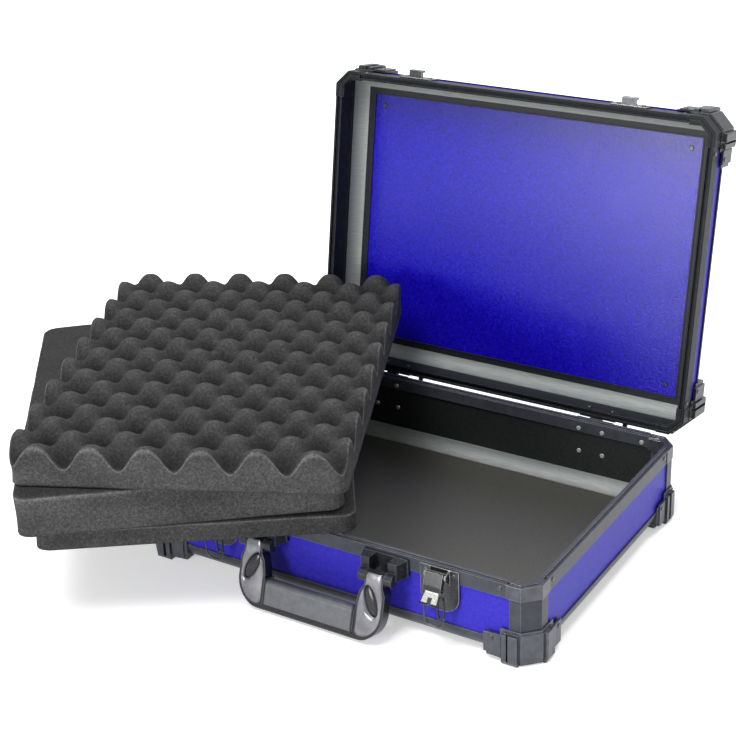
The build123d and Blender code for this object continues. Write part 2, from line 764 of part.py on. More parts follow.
# ---------------------------------------------------------------- handle
TILT = math.radians(HANDLE_TILT)
HANDLE_PLANE = Plane(
    (0, HANDLE_Y, HANDLE_Z),
    x_dir=(1, 0, 0),
    z_dir=(0, -math.cos(TILT), math.sin(TILT)),
)  # local x to the right, local -y down the handle, local z out of its face
FOOT_Z = -RECESS - PROT_FOOT
HANDLE_REACH = (HANDLE_Z - FOOT_Z - TABLE_GAP - HANDLE_T / 2 * math.sin(TILT)) / math.cos(TILT)
KNUCKLE_W = 8.0  # round bosses of a bracket
KNUCKLE_BIG = 7.0


def handle_brackets():
    """Two brackets on the rim rail: back plate, two sloping cheeks and round bosses that carry the axle."""
    y_plate = FRONT - 3.0
    y_nose = HANDLE_Y + 2.0
    low = HANDLE_Z - 2.5
    high = RIM_Z - 2.5
    slot_in = ARM_TOP_IN - ARM_FIT
    slot_out = ARM_TOP_OUT + ARM_FIT
    end_in = slot_in - BRACKET_EAR
    end_out = slot_out + BRACKET_EAR
    middle = (end_in + end_out) / 2
    pad_top = RIM_Z - FLANGE_H - 0.3
    with BuildPart() as brackets:
        for s in (-1, 1):
            with BuildSketch(Plane.XZ.offset(-FRONT)):
                with Locations((s * middle, (low + high) / 2)):
                    RectangleRounded(end_out - end_in, high - low, 2.5)
            extrude(amount=3.0)
            with BuildSketch(Plane.XZ.offset(-FRONT - RECESS)):
                with Locations((s * middle, (low + pad_top) / 2)):
                    Rectangle(end_out - end_in - 6.0, pad_top - low)
            extrude(amount=RECESS)
            with BuildSketch(Plane.XY.offset(low + 1.0)):
                for inner, outer in ((slot_in, end_in), (slot_out, end_out)):
                    Polygon(
                        (s * inner, y_plate),
                        (s * inner, y_nose),
                        (s * (inner + (outer - inner) * 0.62), y_nose),
                        (s * (inner + (outer - inner) * 0.92), y_plate),
                        align=None,
                    )
            extrude(amount=high - low - 2.0)
            for edge, away in ((slot_in, -1), (slot_out, 1)):
                axle(s * (edge + away * KNUCKLE_W / 2), KNUCKLE_W, HANDLE_Y, HANDLE_Z, KNUCKLE_BIG)
            axle(s * middle, slot_out - slot_in + 2.0, HANDLE_Y, HANDLE_Z, AXLE_R)
    return brackets


def handle_bail():
    """Two arms joined by a bottom bar; a lens-shaped hollow is sunk in the front of each arm."""
    top_r = HANDLE_T / 2
    inner = [(ARM_TOP_IN, 10.0), (ARM_TOP_IN, -KNUCKLE_BIG - 1.0), (ARM_IN + 2.5, -KNUCKLE_BIG - 9.0)]
    inner += [(ARM_IN, -GRIP_TOP + 4.0), (ARM_IN, -GRIP_LOW)]
    window = inner + [(-x, y) for x, y in reversed(inner)]
    with BuildPart() as bail:
        with BuildSketch(HANDLE_PLANE.offset(-top_r)):
            with Locations((0, -HANDLE_REACH / 2)):
                outline = Rectangle(2 * HANDLE_X, HANDLE_REACH)
            fillet(outline.vertices().group_by(Axis.Y)[0], HANDLE_ROUND)
            with Locations((0, 0)):
                Rectangle(2 * ARM_TOP_OUT, 2 * top_r)
            for s in (-1, 1):
                Polygon(
                    (s * ARM_TOP_OUT, 0.5),
                    (s * (HANDLE_X + 1.0), 0.5),
                    (s * (HANDLE_X + 1.0), -KNUCKLE_BIG - 11.0),
                    (s * ARM_TOP_OUT, -KNUCKLE_BIG - 1.0),
                    align=None,
                    mode=Mode.SUBTRACT,
                )
            Polygon(*window, align=None, mode=Mode.SUBTRACT)
        extrude(amount=HANDLE_T)
        add(rounded_slab().part, mode=Mode.INTERSECT)
        with BuildSketch(HANDLE_PLANE.offset(top_r - 1.2)):
            for s in (-1, 1):
                with Locations(Location((s * 69.5, -23.5), s * 24.0)):
                    Ellipse(6.3, 16.0)
        extrude(amount=3.0, mode=Mode.SUBTRACT)
        axle(0, 2 * HANDLE_X + 2, HANDLE_Y, HANDLE_Z, AXLE_R + PIN_FIT, Mode.SUBTRACT)
    return bail


def rounded_slab():
    """Side outline of the handle: round about the pivot, softened at the bottom."""
    r = HANDLE_T / 2
    side = Plane(HANDLE_PLANE.origin, x_dir=HANDLE_PLANE.z_dir, z_dir=(1, 0, 0))
    with BuildPart() as slab:
        with BuildSketch(side):
            with Locations((0, HANDLE_REACH / 2)):
                body = Rectangle(2 * r, HANDLE_REACH)
            fillet(body.vertices().group_by(Axis.Y)[-1], 4.0)
            Circle(r)
        extrude(amount=HANDLE_X + 1, both=True)
    return slab


def handle_grip():
    """Grip bar between the arms, with a bevelled and rounded upper edge."""
    r = HANDLE_T / 2
    with BuildPart() as grip:
        with BuildSketch(Plane(HANDLE_PLANE.origin, x_dir=HANDLE_PLANE.z_dir, z_dir=(1, 0, 0))):
            with Locations((0.6, (GRIP_TOP + GRIP_LOW) / 2)):
                body = Rectangle(2 * r + 1.2, GRIP_LOW - GRIP_TOP)
            fillet(body.vertices().group_by(Axis.Y)[0], 5.5)
            fillet(body.vertices().group_by(Axis.Y)[-1].sort_by(Axis.X)[-1:], 2.0)
        extrude(amount=ARM_IN, both=True)
    return grip


# ---------------------------------------------------------------- lid pane border
def pane_border():
    """Dark frame round the inner pane of the lid, with a fine raised bead along its inner edge."""
    d = LID_H - RECESS - PANEL
    bead = 1.6
    inner_x = WIDTH / 2 - 28.0
    inner_y = DEPTH / 2 - 28.0
    with BuildPart() as border:
        with BuildSketch(level(LID, d)):
            Rectangle(WIDTH - 2 * EDGE_R, DEPTH - 2 * EDGE_R)
            Rectangle(2 * inner_x, 2 * inner_y, mode=Mode.SUBTRACT)
        extrude(amount=-1.0)
        with BuildSketch(level(LID, d - 1.0)):
            Rectangle(2 * (inner_x + bead), 2 * (inner_y + bead))
            Rectangle(2 * inner_x, 2 * inner_y, mode=Mode.SUBTRACT)
        extrude(amount=-0.7)
    return border


# ---------------------------------------------------------------- foam
STACK_Z = RIM_Z + TONGUE_H + FOAM_GAP
FOAM_TOPS = (RIM_Z + FOAM_T[0], RIM_Z + FOAM_T[0] + FOAM_T[1])
FOAM_PLACES = (
    ((31.0, 7.9), 34.0),
    ((-3.2, 1.1), 37.0),
    ((101.3, 31.8), 23.6),
)  # corner nearest the lid, from the lid's outer lower left corner, and the turn of each sheet


def foam_plane(index, z):
    """Plane at the middle of a sheet, local x along its short side and local y toward its back."""
    (dx, dy), turn = FOAM_PLACES[index]
    short, long = FOAM_SIZES[index]
    c = math.cos(math.radians(turn))
    s = math.sin(math.radians(turn))
    x = dx - WIDTH / 2 - short / 2 * c + long / 2 * s
    y = dy + DEPTH / 2 - short / 2 * s - long / 2 * c
    return Plane((x, y, z), x_dir=(c, s, 0), z_dir=(0, 0, 1))


def foam_sheet(index, low, high):
    """Flat sheet with softly rounded upright corners."""
    with BuildPart() as sheet:
        with BuildSketch(foam_plane(index, low)):
            RectangleRounded(*FOAM_SIZES[index], FOAM_ROUND)
        extrude(amount=high - low)
    return sheet


def egg_crate(index, low, high):
    """Slab with a chequered field of blunt peaks, cut off square at the edges."""
    mid = high - EGG_PEAK
    short, long = FOAM_SIZES[index]
    columns = int(short / EGG_COLUMN) + 1
    rows = 2 * int(long / EGG_ROW / 2) + 1
    foot_r = EGG_COLUMN * 0.38
    waist_h = EGG_PEAK * 0.6
    waist_r = foot_r - 3.4
    with BuildPart() as sheet:
        with BuildSketch(foam_plane(index, low)):
            Rectangle(short, long)
        extrude(amount=mid - low)
        for height, radius, rise, taper in ((0.0, foot_r, waist_h, 11), (waist_h, waist_r, EGG_PEAK - waist_h, 50)):
            with BuildSketch(foam_plane(index, mid + height)) as ring:
                with GridLocations(EGG_COLUMN, EGG_ROW, columns - 1, rows):
                    RegularPolygon(radius, 6)
                with GridLocations(EGG_COLUMN, EGG_ROW, columns, rows - 1):
                    RegularPolygon(radius, 6)
            extrude(ring.sketch, amount=rise, taper=taper)
        with BuildSketch(foam_plane(index, low)) as edge:
            Rectangle(short, long)
        extrude(edge.sketch, amount=high - low, mode=Mode.INTERSECT)
    return sheet


# ---------------------------------------------------------------- all pieces
for shell in (BASE, LID):
    tag = shell.name
    for side in SIDES:
        save(side_panel(shell, side), f"{tag}_{side}_panel")
    save(rim_rails(shell), f"{tag}_rim_rails")
    save(group([edge_rail(shell, side) for side in SIDES]), f"{tag}_edge_rails")
    save(group([cove_trim(shell, side) for side in SIDES]), f"{tag}_cove_trim")
    save(group([wall_liner(shell, side) for side in SIDES]), f"{tag}_wall_liner")
    save(group([corner_post(shell, corner) for corner in CORNERS]), f"{tag}_corner_posts")
    save(group([corner_insert(shell, corner) for corner in CORNERS]), f"{tag}_corner_inserts")
    for corner in CORNERS:
        save(protector(shell, corner), f"{tag}_protector_{corner}")

save(flat_panel(BASE), "base_bottom_panel")
save(flat_panel(LID), "lid_top_panel")
save(flat_liner(BASE), "base_floor_liner")
save(pane_border(), "lid_pane_border")
save(base_studs(), "base_rivets")
save(lid_studs(), "lid_rivets")
save(stop_tabs(), "lid_stop_tabs")

for hand, sign in (("left", -1), ("right", 1)):
    save(base_leaf(sign * HINGE_X), f"hinge_{hand}_base_leaf")
    save(lid_leaf(sign * HINGE_X), f"hinge_{hand}_lid_leaf")
    save(hinge_pin(sign * HINGE_X), f"hinge_{hand}_pin")
    save(latch_plate(sign * LATCH_X), f"latch_{hand}_plate")
    save(latch_lever(sign * LATCH_X), f"latch_{hand}_lever")
    save(latch_tip(sign * LATCH_X), f"latch_{hand}_tip")
    save(wire_bail(sign * LATCH_X), f"latch_{hand}_wire_bail")
    save(lid_catch(sign * LATCH_X), f"latch_{hand}_lid_catch")

save(handle_brackets(), "handle_brackets")
save(handle_bail(), "handle_bail")
save(handle_grip(), "handle_grip")

save(foam_sheet(0, STACK_Z, FOAM_TOPS[0]), "foam_bottom_sheet")
save(foam_sheet(1, FOAM_TOPS[0] + FOAM_GAP, FOAM_TOPS[1]), "foam_middle_sheet")
save(egg_crate(2, FOAM_TOPS[1] + FOAM_GAP, FOAM_TOPS[1] + FOAM_T[2]), "foam_egg_crate_sheet")
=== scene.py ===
"""Looks of the laptop hard case: materials, modelled foam, hardware details, camera and light."""

import json
import math

import bmesh
import bpy
from mathutils import Matrix, Vector, noise


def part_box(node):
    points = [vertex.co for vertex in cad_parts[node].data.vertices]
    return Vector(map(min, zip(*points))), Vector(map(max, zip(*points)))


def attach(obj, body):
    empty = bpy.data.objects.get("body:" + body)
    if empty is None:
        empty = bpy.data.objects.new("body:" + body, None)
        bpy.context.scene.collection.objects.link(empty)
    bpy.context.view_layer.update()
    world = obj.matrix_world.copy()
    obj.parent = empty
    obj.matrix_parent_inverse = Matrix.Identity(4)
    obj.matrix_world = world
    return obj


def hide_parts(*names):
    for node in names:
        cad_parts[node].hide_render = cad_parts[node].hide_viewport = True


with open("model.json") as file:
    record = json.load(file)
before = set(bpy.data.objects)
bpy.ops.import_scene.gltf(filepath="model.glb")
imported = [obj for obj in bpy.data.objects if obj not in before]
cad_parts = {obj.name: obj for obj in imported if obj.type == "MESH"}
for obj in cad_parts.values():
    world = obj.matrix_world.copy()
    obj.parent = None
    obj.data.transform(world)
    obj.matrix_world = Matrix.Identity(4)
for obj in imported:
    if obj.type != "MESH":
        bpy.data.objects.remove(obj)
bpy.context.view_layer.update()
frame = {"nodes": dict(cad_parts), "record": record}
nodes = frame["nodes"]
MM = 0.001
scene = bpy.context.scene


# ---------------------------------------------------------------- materials
def new_material(name):
    """Material with its node tree and its Principled shader."""
    mat = bpy.data.materials.new(name)
    mat.use_nodes = True
    tree = mat.node_tree
    shader = tree.nodes["Principled BSDF"]
    return mat, tree, shader


def node(tree, kind, **values):
    """Add a node; a value goes to the socket of its name, or else to the node itself."""
    made = tree.nodes.new(kind)
    for key, value in values.items():
        if key in made.inputs:
            made.inputs[key].default_value = value
        else:
            setattr(made, key, value)
    return made


def coords(tree, stretch=(1, 1, 1)):
    """Object coordinates, stretched along the axes."""
    tex = node(tree, "ShaderNodeTexCoord")
    mapping = node(tree, "ShaderNodeMapping")
    mapping.inputs["Scale"].default_value = stretch
    tree.links.new(tex.outputs["Object"], mapping.inputs["Vector"])
    return mapping.outputs["Vector"]


def noise_tex(tree, vector, scale, detail=4.0, rough=0.6):
    """Noise between 0 and 1, most of it from 0.3 to 0.7."""
    tex = node(tree, "ShaderNodeTexNoise", Scale=scale, Detail=detail, Roughness=rough)
    tree.links.new(vector, tex.inputs["Vector"])
    return tex.outputs["Fac"]


def ramp(tree, fac, stops):
    """Colour ramp over a value."""
    made = node(tree, "ShaderNodeValToRGB")
    elements = made.color_ramp.elements
    while len(elements) < len(stops):
        elements.new(0.5)
    for element, (place, colour) in zip(elements, stops):
        element.position = place
        element.color = (*colour, 1.0)
    tree.links.new(fac, made.inputs["Fac"])
    return made.outputs["Color"]


def spread(tree, fac, low, high, from_low=0.3, from_high=0.7):
    """Map a value to low..high, from the range that noise mostly keeps to unless told."""
    made = node(tree, "ShaderNodeMapRange")
    made.inputs["From Min"].default_value = from_low
    made.inputs["From Max"].default_value = from_high
    made.inputs["To Min"].default_value = low
    made.inputs["To Max"].default_value = high
    tree.links.new(fac, made.inputs["Value"])
    return made.outputs["Result"]


def white_where_seen(tree, low, high, strength, far=None):
    """Set a strength to high for what camera, reflection or glass sees, and to low for the light it gives.

    far, when given, is a value that takes the place of high.
    """
    rays = node(tree, "ShaderNodeLightPath")
    seen = rays.outputs["Is Camera Ray"]
    for kind in ("Is Glossy Ray", "Is Transmission Ray"):
        either = node(tree, "ShaderNodeMath", operation="MAXIMUM")
        tree.links.new(seen, either.inputs[0])
        tree.links.new(rays.outputs[kind], either.inputs[1])
        seen = either.outputs["Value"]
    shown = spread(tree, seen, low, high, 0.0, 1.0)
    if far:
        tree.links.new(far, shown.node.inputs["To Max"])
    tree.links.new(shown, strength)


def bump(tree, shader, height, strength, distance, over=None):
    """Relief from a height, laid over another normal when one is given."""
    made = node(tree, "ShaderNodeBump", Strength=strength, Distance=distance)
    if over:
        tree.links.new(over, made.inputs["Normal"])
    tree.links.new(height, made.inputs["Height"])
    tree.links.new(made.outputs["Normal"], shader.inputs["Normal"])


def multiply(tree, colour, layer):
    """Multiply a colour by a layer."""
    mix = node(tree, "ShaderNodeMix", data_type="RGBA", blend_type="MULTIPLY")
    mix.inputs[0].default_value = 1.0
    tree.links.new(colour, mix.inputs[6])
    tree.links.new(layer, mix.inputs[7])
    return mix.outputs[2]


def painted_edge_highlight(tree, colour, edge, radius):
    """Painted highlight: lighten a colour where the surface turns sharply; also gives the normal with those
    edges eased.
    """
    bevel = node(tree, "ShaderNodeBevel", samples=4)
    bevel.inputs["Radius"].default_value = radius
    shape = node(tree, "ShaderNodeNewGeometry")
    turn = node(tree, "ShaderNodeVectorMath", operation="DOT_PRODUCT")
    tree.links.new(bevel.outputs["Normal"], turn.inputs[0])
    tree.links.new(shape.outputs["Normal"], turn.inputs[1])
    mix = node(tree, "ShaderNodeMix", data_type="RGBA")
    tree.links.new(spread(tree, turn.outputs["Value"], 1.0, 0.0, 0.86, 0.99), mix.inputs[0])
    tree.links.new(colour, mix.inputs[6])
    mix.inputs[7].default_value = (*edge, 1.0)
    return mix.outputs[2], bevel.outputs["Normal"]


def surface(
    name, dark, light, scale, rough, metallic=0.0, grain=1200.0, bump_by=0.1, fleck=0.0, stretch=(1, 1, 1),
    edge=None, edge_mm=0.6, **sockets
):
    """Material whose colour wanders between two ends, with a finer grain in its roughness and relief.

    fleck lifts and sinks the colour with the fine grain, as pores, wear or a pressed texture do;
    edge is the colour of a painted highlight along its edges.
    """
    mat, tree, shader = new_material(name)
    vector = coords(tree, stretch)
    colour = ramp(tree, noise_tex(tree, vector, scale), [(0.32, dark), (0.68, light)])
    fine = noise_tex(tree, vector, grain, 3.0, 0.7)
    if fleck:
        layer = ramp(tree, fine, [(0.34, (1 - fleck,) * 3), (0.66, (1.0, 1.0, 1.0))])
        colour = multiply(tree, colour, layer)
    eased = None
    if edge:
        # Painted highlight along the edges, with the normal eased there.
        colour, eased = painted_edge_highlight(tree, colour, edge, edge_mm * MM)
    tree.links.new(colour, shader.inputs["Base Color"])
    tree.links.new(spread(tree, fine, rough[0], rough[1]), shader.inputs["Roughness"])
    shader.inputs["Metallic"].default_value = metallic
    for socket, value in sockets.items():
        shader.inputs[socket.replace("_", " ")].default_value = value
    bump(tree, shader, fine, bump_by, 0.0006, eased)
    return mat


def place(tree, axis):
    """One of the object coordinates."""
    parts = node(tree, "ShaderNodeSeparateXYZ")
    tree.links.new(coords(tree), parts.inputs["Vector"])
    return parts.outputs[axis]


def math_node(tree, operation, first, second):
    """Math node on a socket and a second socket or a number."""
    made = node(tree, "ShaderNodeMath", operation=operation)
    tree.links.new(first, made.inputs[0])
    if isinstance(second, float):
        made.inputs[1].default_value = second
    else:
        tree.links.new(second, made.inputs[1])
    return made.outputs["Value"]


def bright_inside(mat, halves, colour):
    """Lighter colour for the rivet heads inside the box walls; the heads outside stay dark."""
    tree = mat.node_tree
    base = tree.nodes["Principled BSDF"].inputs["Base Color"]
    sides = []
    for axis, half in zip("XY", halves):
        size = math_node(tree, "ABSOLUTE", place(tree, axis), 0.0)
        sides.append(math_node(tree, "DIVIDE", size, half))
    inside = math_node(tree, "LESS_THAN", math_node(tree, "MAXIMUM", *sides), 1.0)
    mix = node(tree, "ShaderNodeMix", data_type="RGBA")
    tree.links.new(inside, mix.inputs[0])
    tree.links.new(base.links[0].from_socket, mix.inputs[6])
    mix.inputs[7].default_value = (*colour, 1.0)
    tree.links.new(mix.outputs[2], base)


EDGE_HIGHLIGHT_PAINT = (0.34, 0.35, 0.38)  # painted highlight along the edges of rails and caps
INSIDE_HALF = (0.219, 0.169)  # half width and depth of the space that the inner heads look into
blue_out = surface(
    "blue_laminate", (0.030, 0.022, 0.42), (0.046, 0.036, 0.50), 240, (0.30, 0.42),
    grain=850, bump_by=0.2, fleck=0.2, Specular_IOR_Level=0.10,
)
blue_pane = surface(
    "blue_pane", (0.006, 0.002, 0.42), (0.014, 0.006, 0.62), 260, (0.16, 0.25),
    grain=520, bump_by=0.4, fleck=0.5, Specular_IOR_Level=0.38,
)
anodised = surface(
    "dark_anodised", (0.040, 0.043, 0.053), (0.060, 0.064, 0.078), 90, (0.26, 0.38),
    grain=1500, edge=EDGE_HIGHLIGHT_PAINT, Specular_IOR_Level=0.16,
)
# Darker copy of the rail finish, given to the lid's rails, posts and inserts: painted shade, as the open
# lid's inside lies in shade.
lid_rail_painted_shade = surface(
    "lid_anodised_painted_shade", (0.008, 0.009, 0.011), (0.016, 0.018, 0.021), 90, (0.34, 0.48), 0.0,
    grain=1500, edge=(0.17, 0.18, 0.20), edge_mm=0.4, Specular_IOR_Level=0.1,
)
cap_metal = surface(
    "cap_metal", (0.050, 0.053, 0.062), (0.085, 0.090, 0.102), 120, (0.26, 0.40), 0.6,
    bump_by=0.15, edge=EDGE_HIGHLIGHT_PAINT,
)
cast_metal = surface(
    "cast_metal", (0.055, 0.060, 0.072), (0.088, 0.093, 0.110), 140, (0.28, 0.42), 0.4,
    grain=1100, bump_by=0.2, fleck=0.2, edge=(0.20, 0.21, 0.24),
)
# Darker copy of cast_metal, given to the lid's protectors: painted shade.
cast_metal_painted_shade = surface(
    "cast_metal_painted_shade", (0.022, 0.024, 0.029), (0.040, 0.043, 0.050), 140, (0.28, 0.42), 0.3,
    grain=1100, bump_by=0.2, fleck=0.2, edge=(0.22, 0.23, 0.26), Specular_IOR_Level=0.35,
)
bright = surface(
    "mill_aluminium", (0.24, 0.26, 0.25), (0.31, 0.33, 0.32), 60, (0.50, 0.65), 0.1,
    grain=900, stretch=(1, 1, 14),
)
felt = surface(
    "felt_lining", (0.048, 0.048, 0.040), (0.070, 0.070, 0.060), 500, (0.50, 0.66),
    grain=2400, bump_by=0.3, fleck=0.3,
)
# Darker lining for the box and lid walls than the floor's felt: painted shade, as the walls lie in shade.
wall_lining_painted_shade = surface(
    "wall_lining_painted_shade", (0.014, 0.015, 0.015), (0.026, 0.027, 0.028), 300, (0.30, 0.45),
    grain=1400, bump_by=0.15, fleck=0.2, Specular_IOR_Level=0.3,
)
# Black for the ring round the lid's pane: painted shade, standing for the shadow in the gap between pane
# and trim.
pane_border_painted_shade = surface(
    "pane_border_painted_shade", (0.008, 0.009, 0.012), (0.018, 0.020, 0.026), 300, (0.35, 0.5),
    Specular_IOR_Level=0.25,
)
rivet_metal = surface(
    "rivet_metal", (0.030, 0.030, 0.034), (0.08, 0.08, 0.09), 800, (0.22, 0.38), 0.7,
)
wall_rivet = surface(
    "wall_rivet", (0.030, 0.030, 0.034), (0.08, 0.08, 0.09), 800, (0.22, 0.38), 0.3,
)
bright_inside(wall_rivet, INSIDE_HALF, (0.42, 0.42, 0.42))
hinge_metal = surface(
    "hinge_metal", (0.018, 0.018, 0.020), (0.045, 0.045, 0.050), 300, (0.28, 0.42), 0.7,
    edge=(0.2, 0.2, 0.22), edge_mm=0.4,
)
latch_black = surface(
    "latch_black", (0.010, 0.010, 0.012), (0.026, 0.026, 0.030), 400, (0.12, 0.22),
    bump_by=0.04, edge=(0.85, 0.86, 0.88), edge_mm=0.5, Specular_IOR_Level=0.3,
)
latch_paint = surface(
    "latch_paint", (0.030, 0.032, 0.036), (0.070, 0.073, 0.080), 300, (0.22, 0.34), 0.5,
    fleck=0.2, edge=(0.95, 0.95, 0.98), edge_mm=0.5,
)
chrome = surface(
    "bright_nickel", (0.33, 0.33, 0.32), (0.41, 0.41, 0.40), 500, (0.22, 0.30), 0.7,
    bump_by=0.02, edge=(0.70, 0.70, 0.70), edge_mm=0.3,
)
wire = surface(
    "latch_wire", (0.030, 0.030, 0.034), (0.10, 0.10, 0.11), 300, (0.20, 0.34), 0.7,
    bump_by=0.03,
)
grip_grey = surface(
    "grip_grey", (0.070, 0.074, 0.084), (0.100, 0.105, 0.116), 160, (0.30, 0.42), 0.1,
    grain=1300, bump_by=0.15, fleck=0.15, edge=(0.22, 0.225, 0.24), edge_mm=0.7,
)
handle_black = surface(
    "handle_black", (0.008, 0.008, 0.011), (0.018, 0.018, 0.022), 200, (0.10, 0.18), 0.0,
    bump_by=0.04, edge=(0.13, 0.135, 0.16), edge_mm=1.6, Specular_IOR_Level=0.3,
)
arm_grey = surface(
    "arm_plate", (0.12, 0.12, 0.135), (0.24, 0.24, 0.26), 50, (0.12, 0.22), 0.3,
    bump_by=0.03, Specular_IOR_Level=0.35,
)
bracket_black = surface(
    "bracket_black", (0.010, 0.011, 0.013), (0.024, 0.026, 0.031), 260, (0.22, 0.34),
    edge=(0.18, 0.19, 0.21), edge_mm=0.5, Specular_IOR_Level=0.25,
)


def foam_material(name, dark, light, rim):
    """Open-cell foam: dark pores, pale cell edges; the mesh's tone is painted shade in the hollows and on
    the tops, and a painted highlight on the cut edges.
    """
    mat, tree, shader = new_material(name)
    vector = coords(tree)
    tone = node(tree, "ShaderNodeAttribute", attribute_name="tone")
    # The tone runs from painted shade in the hollows to a painted highlight on the cut edges.
    base = ramp(tree, tone.outputs["Fac"], [(0.0, dark), (0.7, light), (1.0, rim)])
    cells = noise_tex(tree, vector, 380, 5.0, 0.9)
    pores = ramp(tree, cells, [(0.34, (0.40,) * 3), (0.52, (0.95,) * 3), (0.70, (2.0,) * 3)])
    drift = ramp(tree, noise_tex(tree, vector, 30, 5.0), [(0.3, (0.84,) * 3), (0.7, (1.08,) * 3)])
    colour = multiply(tree, multiply(tree, base, pores), drift)
    tree.links.new(colour, shader.inputs["Base Color"])
    rough = noise_tex(tree, vector, 900, 5.0, 0.75)
    tree.links.new(spread(tree, rough, 0.85, 1.0), shader.inputs["Roughness"])
    shader.inputs["Specular IOR Level"].default_value = 0.12
    bump(tree, shader, rough, 0.8, 0.0008)
    return mat


foam_grey = foam_material("open_cell_foam", (0.010,) * 3, (0.052,) * 3, (0.150,) * 3)


def dress(name, material):
    """Give a CAD node its material."""
    data = nodes[name].data
    data.materials.clear()
    data.materials.append(material)


SLOT_MATERIALS = {
    "blue_panel": blue_out,
    "dark_rail": anodised,
    "corner_cap": cap_metal,
    "bright_trim": bright,
    "lining": felt,
    "protector": cast_metal,
    "rivet": rivet_metal,
    "hinge_steel": hinge_metal,
    "latch_lever": latch_black,
    "bright_wire": chrome,
    "latch_plate": latch_paint,
    "handle_grip": grip_grey,
    "handle_frame": handle_black,
    "foam": foam_grey,
}
OWN_MATERIALS = {
    "lid_rim_rails": lid_rail_painted_shade,
    "lid_edge_rails": lid_rail_painted_shade,
    "lid_corner_posts": lid_rail_painted_shade,
    "lid_corner_inserts": lid_rail_painted_shade,
    "base_wall_liner": wall_lining_painted_shade,
    "lid_wall_liner": wall_lining_painted_shade,
    "lid_top_panel": blue_pane,
    "lid_pane_border": pane_border_painted_shade,
    "handle_brackets": bracket_black,
    "base_rivets": wall_rivet,
    "lid_protector_back_left": cast_metal_painted_shade,
    "lid_protector_back_right": cast_metal_painted_shade,
    "lid_protector_front_left": cast_metal_painted_shade,
    "lid_protector_front_right": cast_metal_painted_shade,
    "latch_left_wire_bail": wire,
    "latch_right_wire_bail": wire,
}
for entry in frame["record"]["subparts"]:
    name = entry["node"]
    dress(name, OWN_MATERIALS.get(name, SLOT_MATERIALS[entry["material_slot"]]))


# ---------------------------------------------------------------- mesh helpers
def new_object(name, bm, material, smooth=True):
    """Object in the scene from a bmesh, which is freed."""
    mesh = bpy.data.meshes.new(name)
    bm.to_mesh(mesh)
    bm.free()
    if smooth:
        mesh.polygons.foreach_set("use_smooth", [True] * len(mesh.polygons))
    mesh.materials.append(material)
    obj = bpy.data.objects.new(name, mesh)
    scene.collection.objects.link(obj)
    return obj


# ---------------------------------------------------------------- foam sheets
SOFT = 2.4 * MM  # rounding of the edges
CORNER_R = 13 * MM
EGG_DEEP = 23.5 * MM  # from crest to hollow
EGG_COLUMN = 54 * MM  # from crest to crest, across and along
EGG_ROW = 55 * MM
RIM_LEFT = -0.235  # foam beyond these two places has nothing under it
RIM_FRONT = -0.180
DROOP = 7 * MM  # sag at DROOP_REACH beyond the rim
DROOP_REACH = 0.25
TOP_WAVES = 13  # how close together the waves of a cut face lie
SIDE_WAVES = 24
WAVE = 0.9  # and their depth in mm
PULL_IN = 0.7  # sides pull in this far half way down, in mm
SIDE_ROWS = 10
SEED_STEP = (3.7, 1.3, 9.1)


def rounded(u, v, half_u, half_v, inset):
    """Move a point of a sheet's rectangle so that its corners come out rounded, then inset it."""
    core_u = half_u - CORNER_R
    core_v = half_v - CORNER_R
    du = abs(u) - core_u
    dv = abs(v) - core_v
    if du > 0 and dv > 0:
        squeeze = max(du, dv) / math.hypot(du, dv)
        du *= squeeze
        dv *= squeeze
    out_u = core_u + du if abs(u) > core_u else abs(u)
    out_v = core_v + dv if abs(v) > core_v else abs(v)
    return math.copysign(out_u * (1 - inset / half_u), u), math.copysign(out_v * (1 - inset / half_v), v)


def droop(p):
    """How far the foam sags at a point that overhangs the case."""
    out = math.hypot(max(0.0, RIM_LEFT - p.x), max(0.0, RIM_FRONT - p.y))
    return DROOP * (out / DROOP_REACH) ** 1.5


def domes(u, v):
    """Height of the egg-crate surface, from 0 in a hollow to 1 on a crest."""
    a = math.cos(2 * math.pi * (u / EGG_COLUMN - 0.5))
    b = math.cos(2 * math.pi * v / EGG_ROW)
    return 1 - (0.5 - 0.5 * a * b) ** 1.5


def level(_u, _v):
    """Height of a flat sheet's top."""
    return 1.0


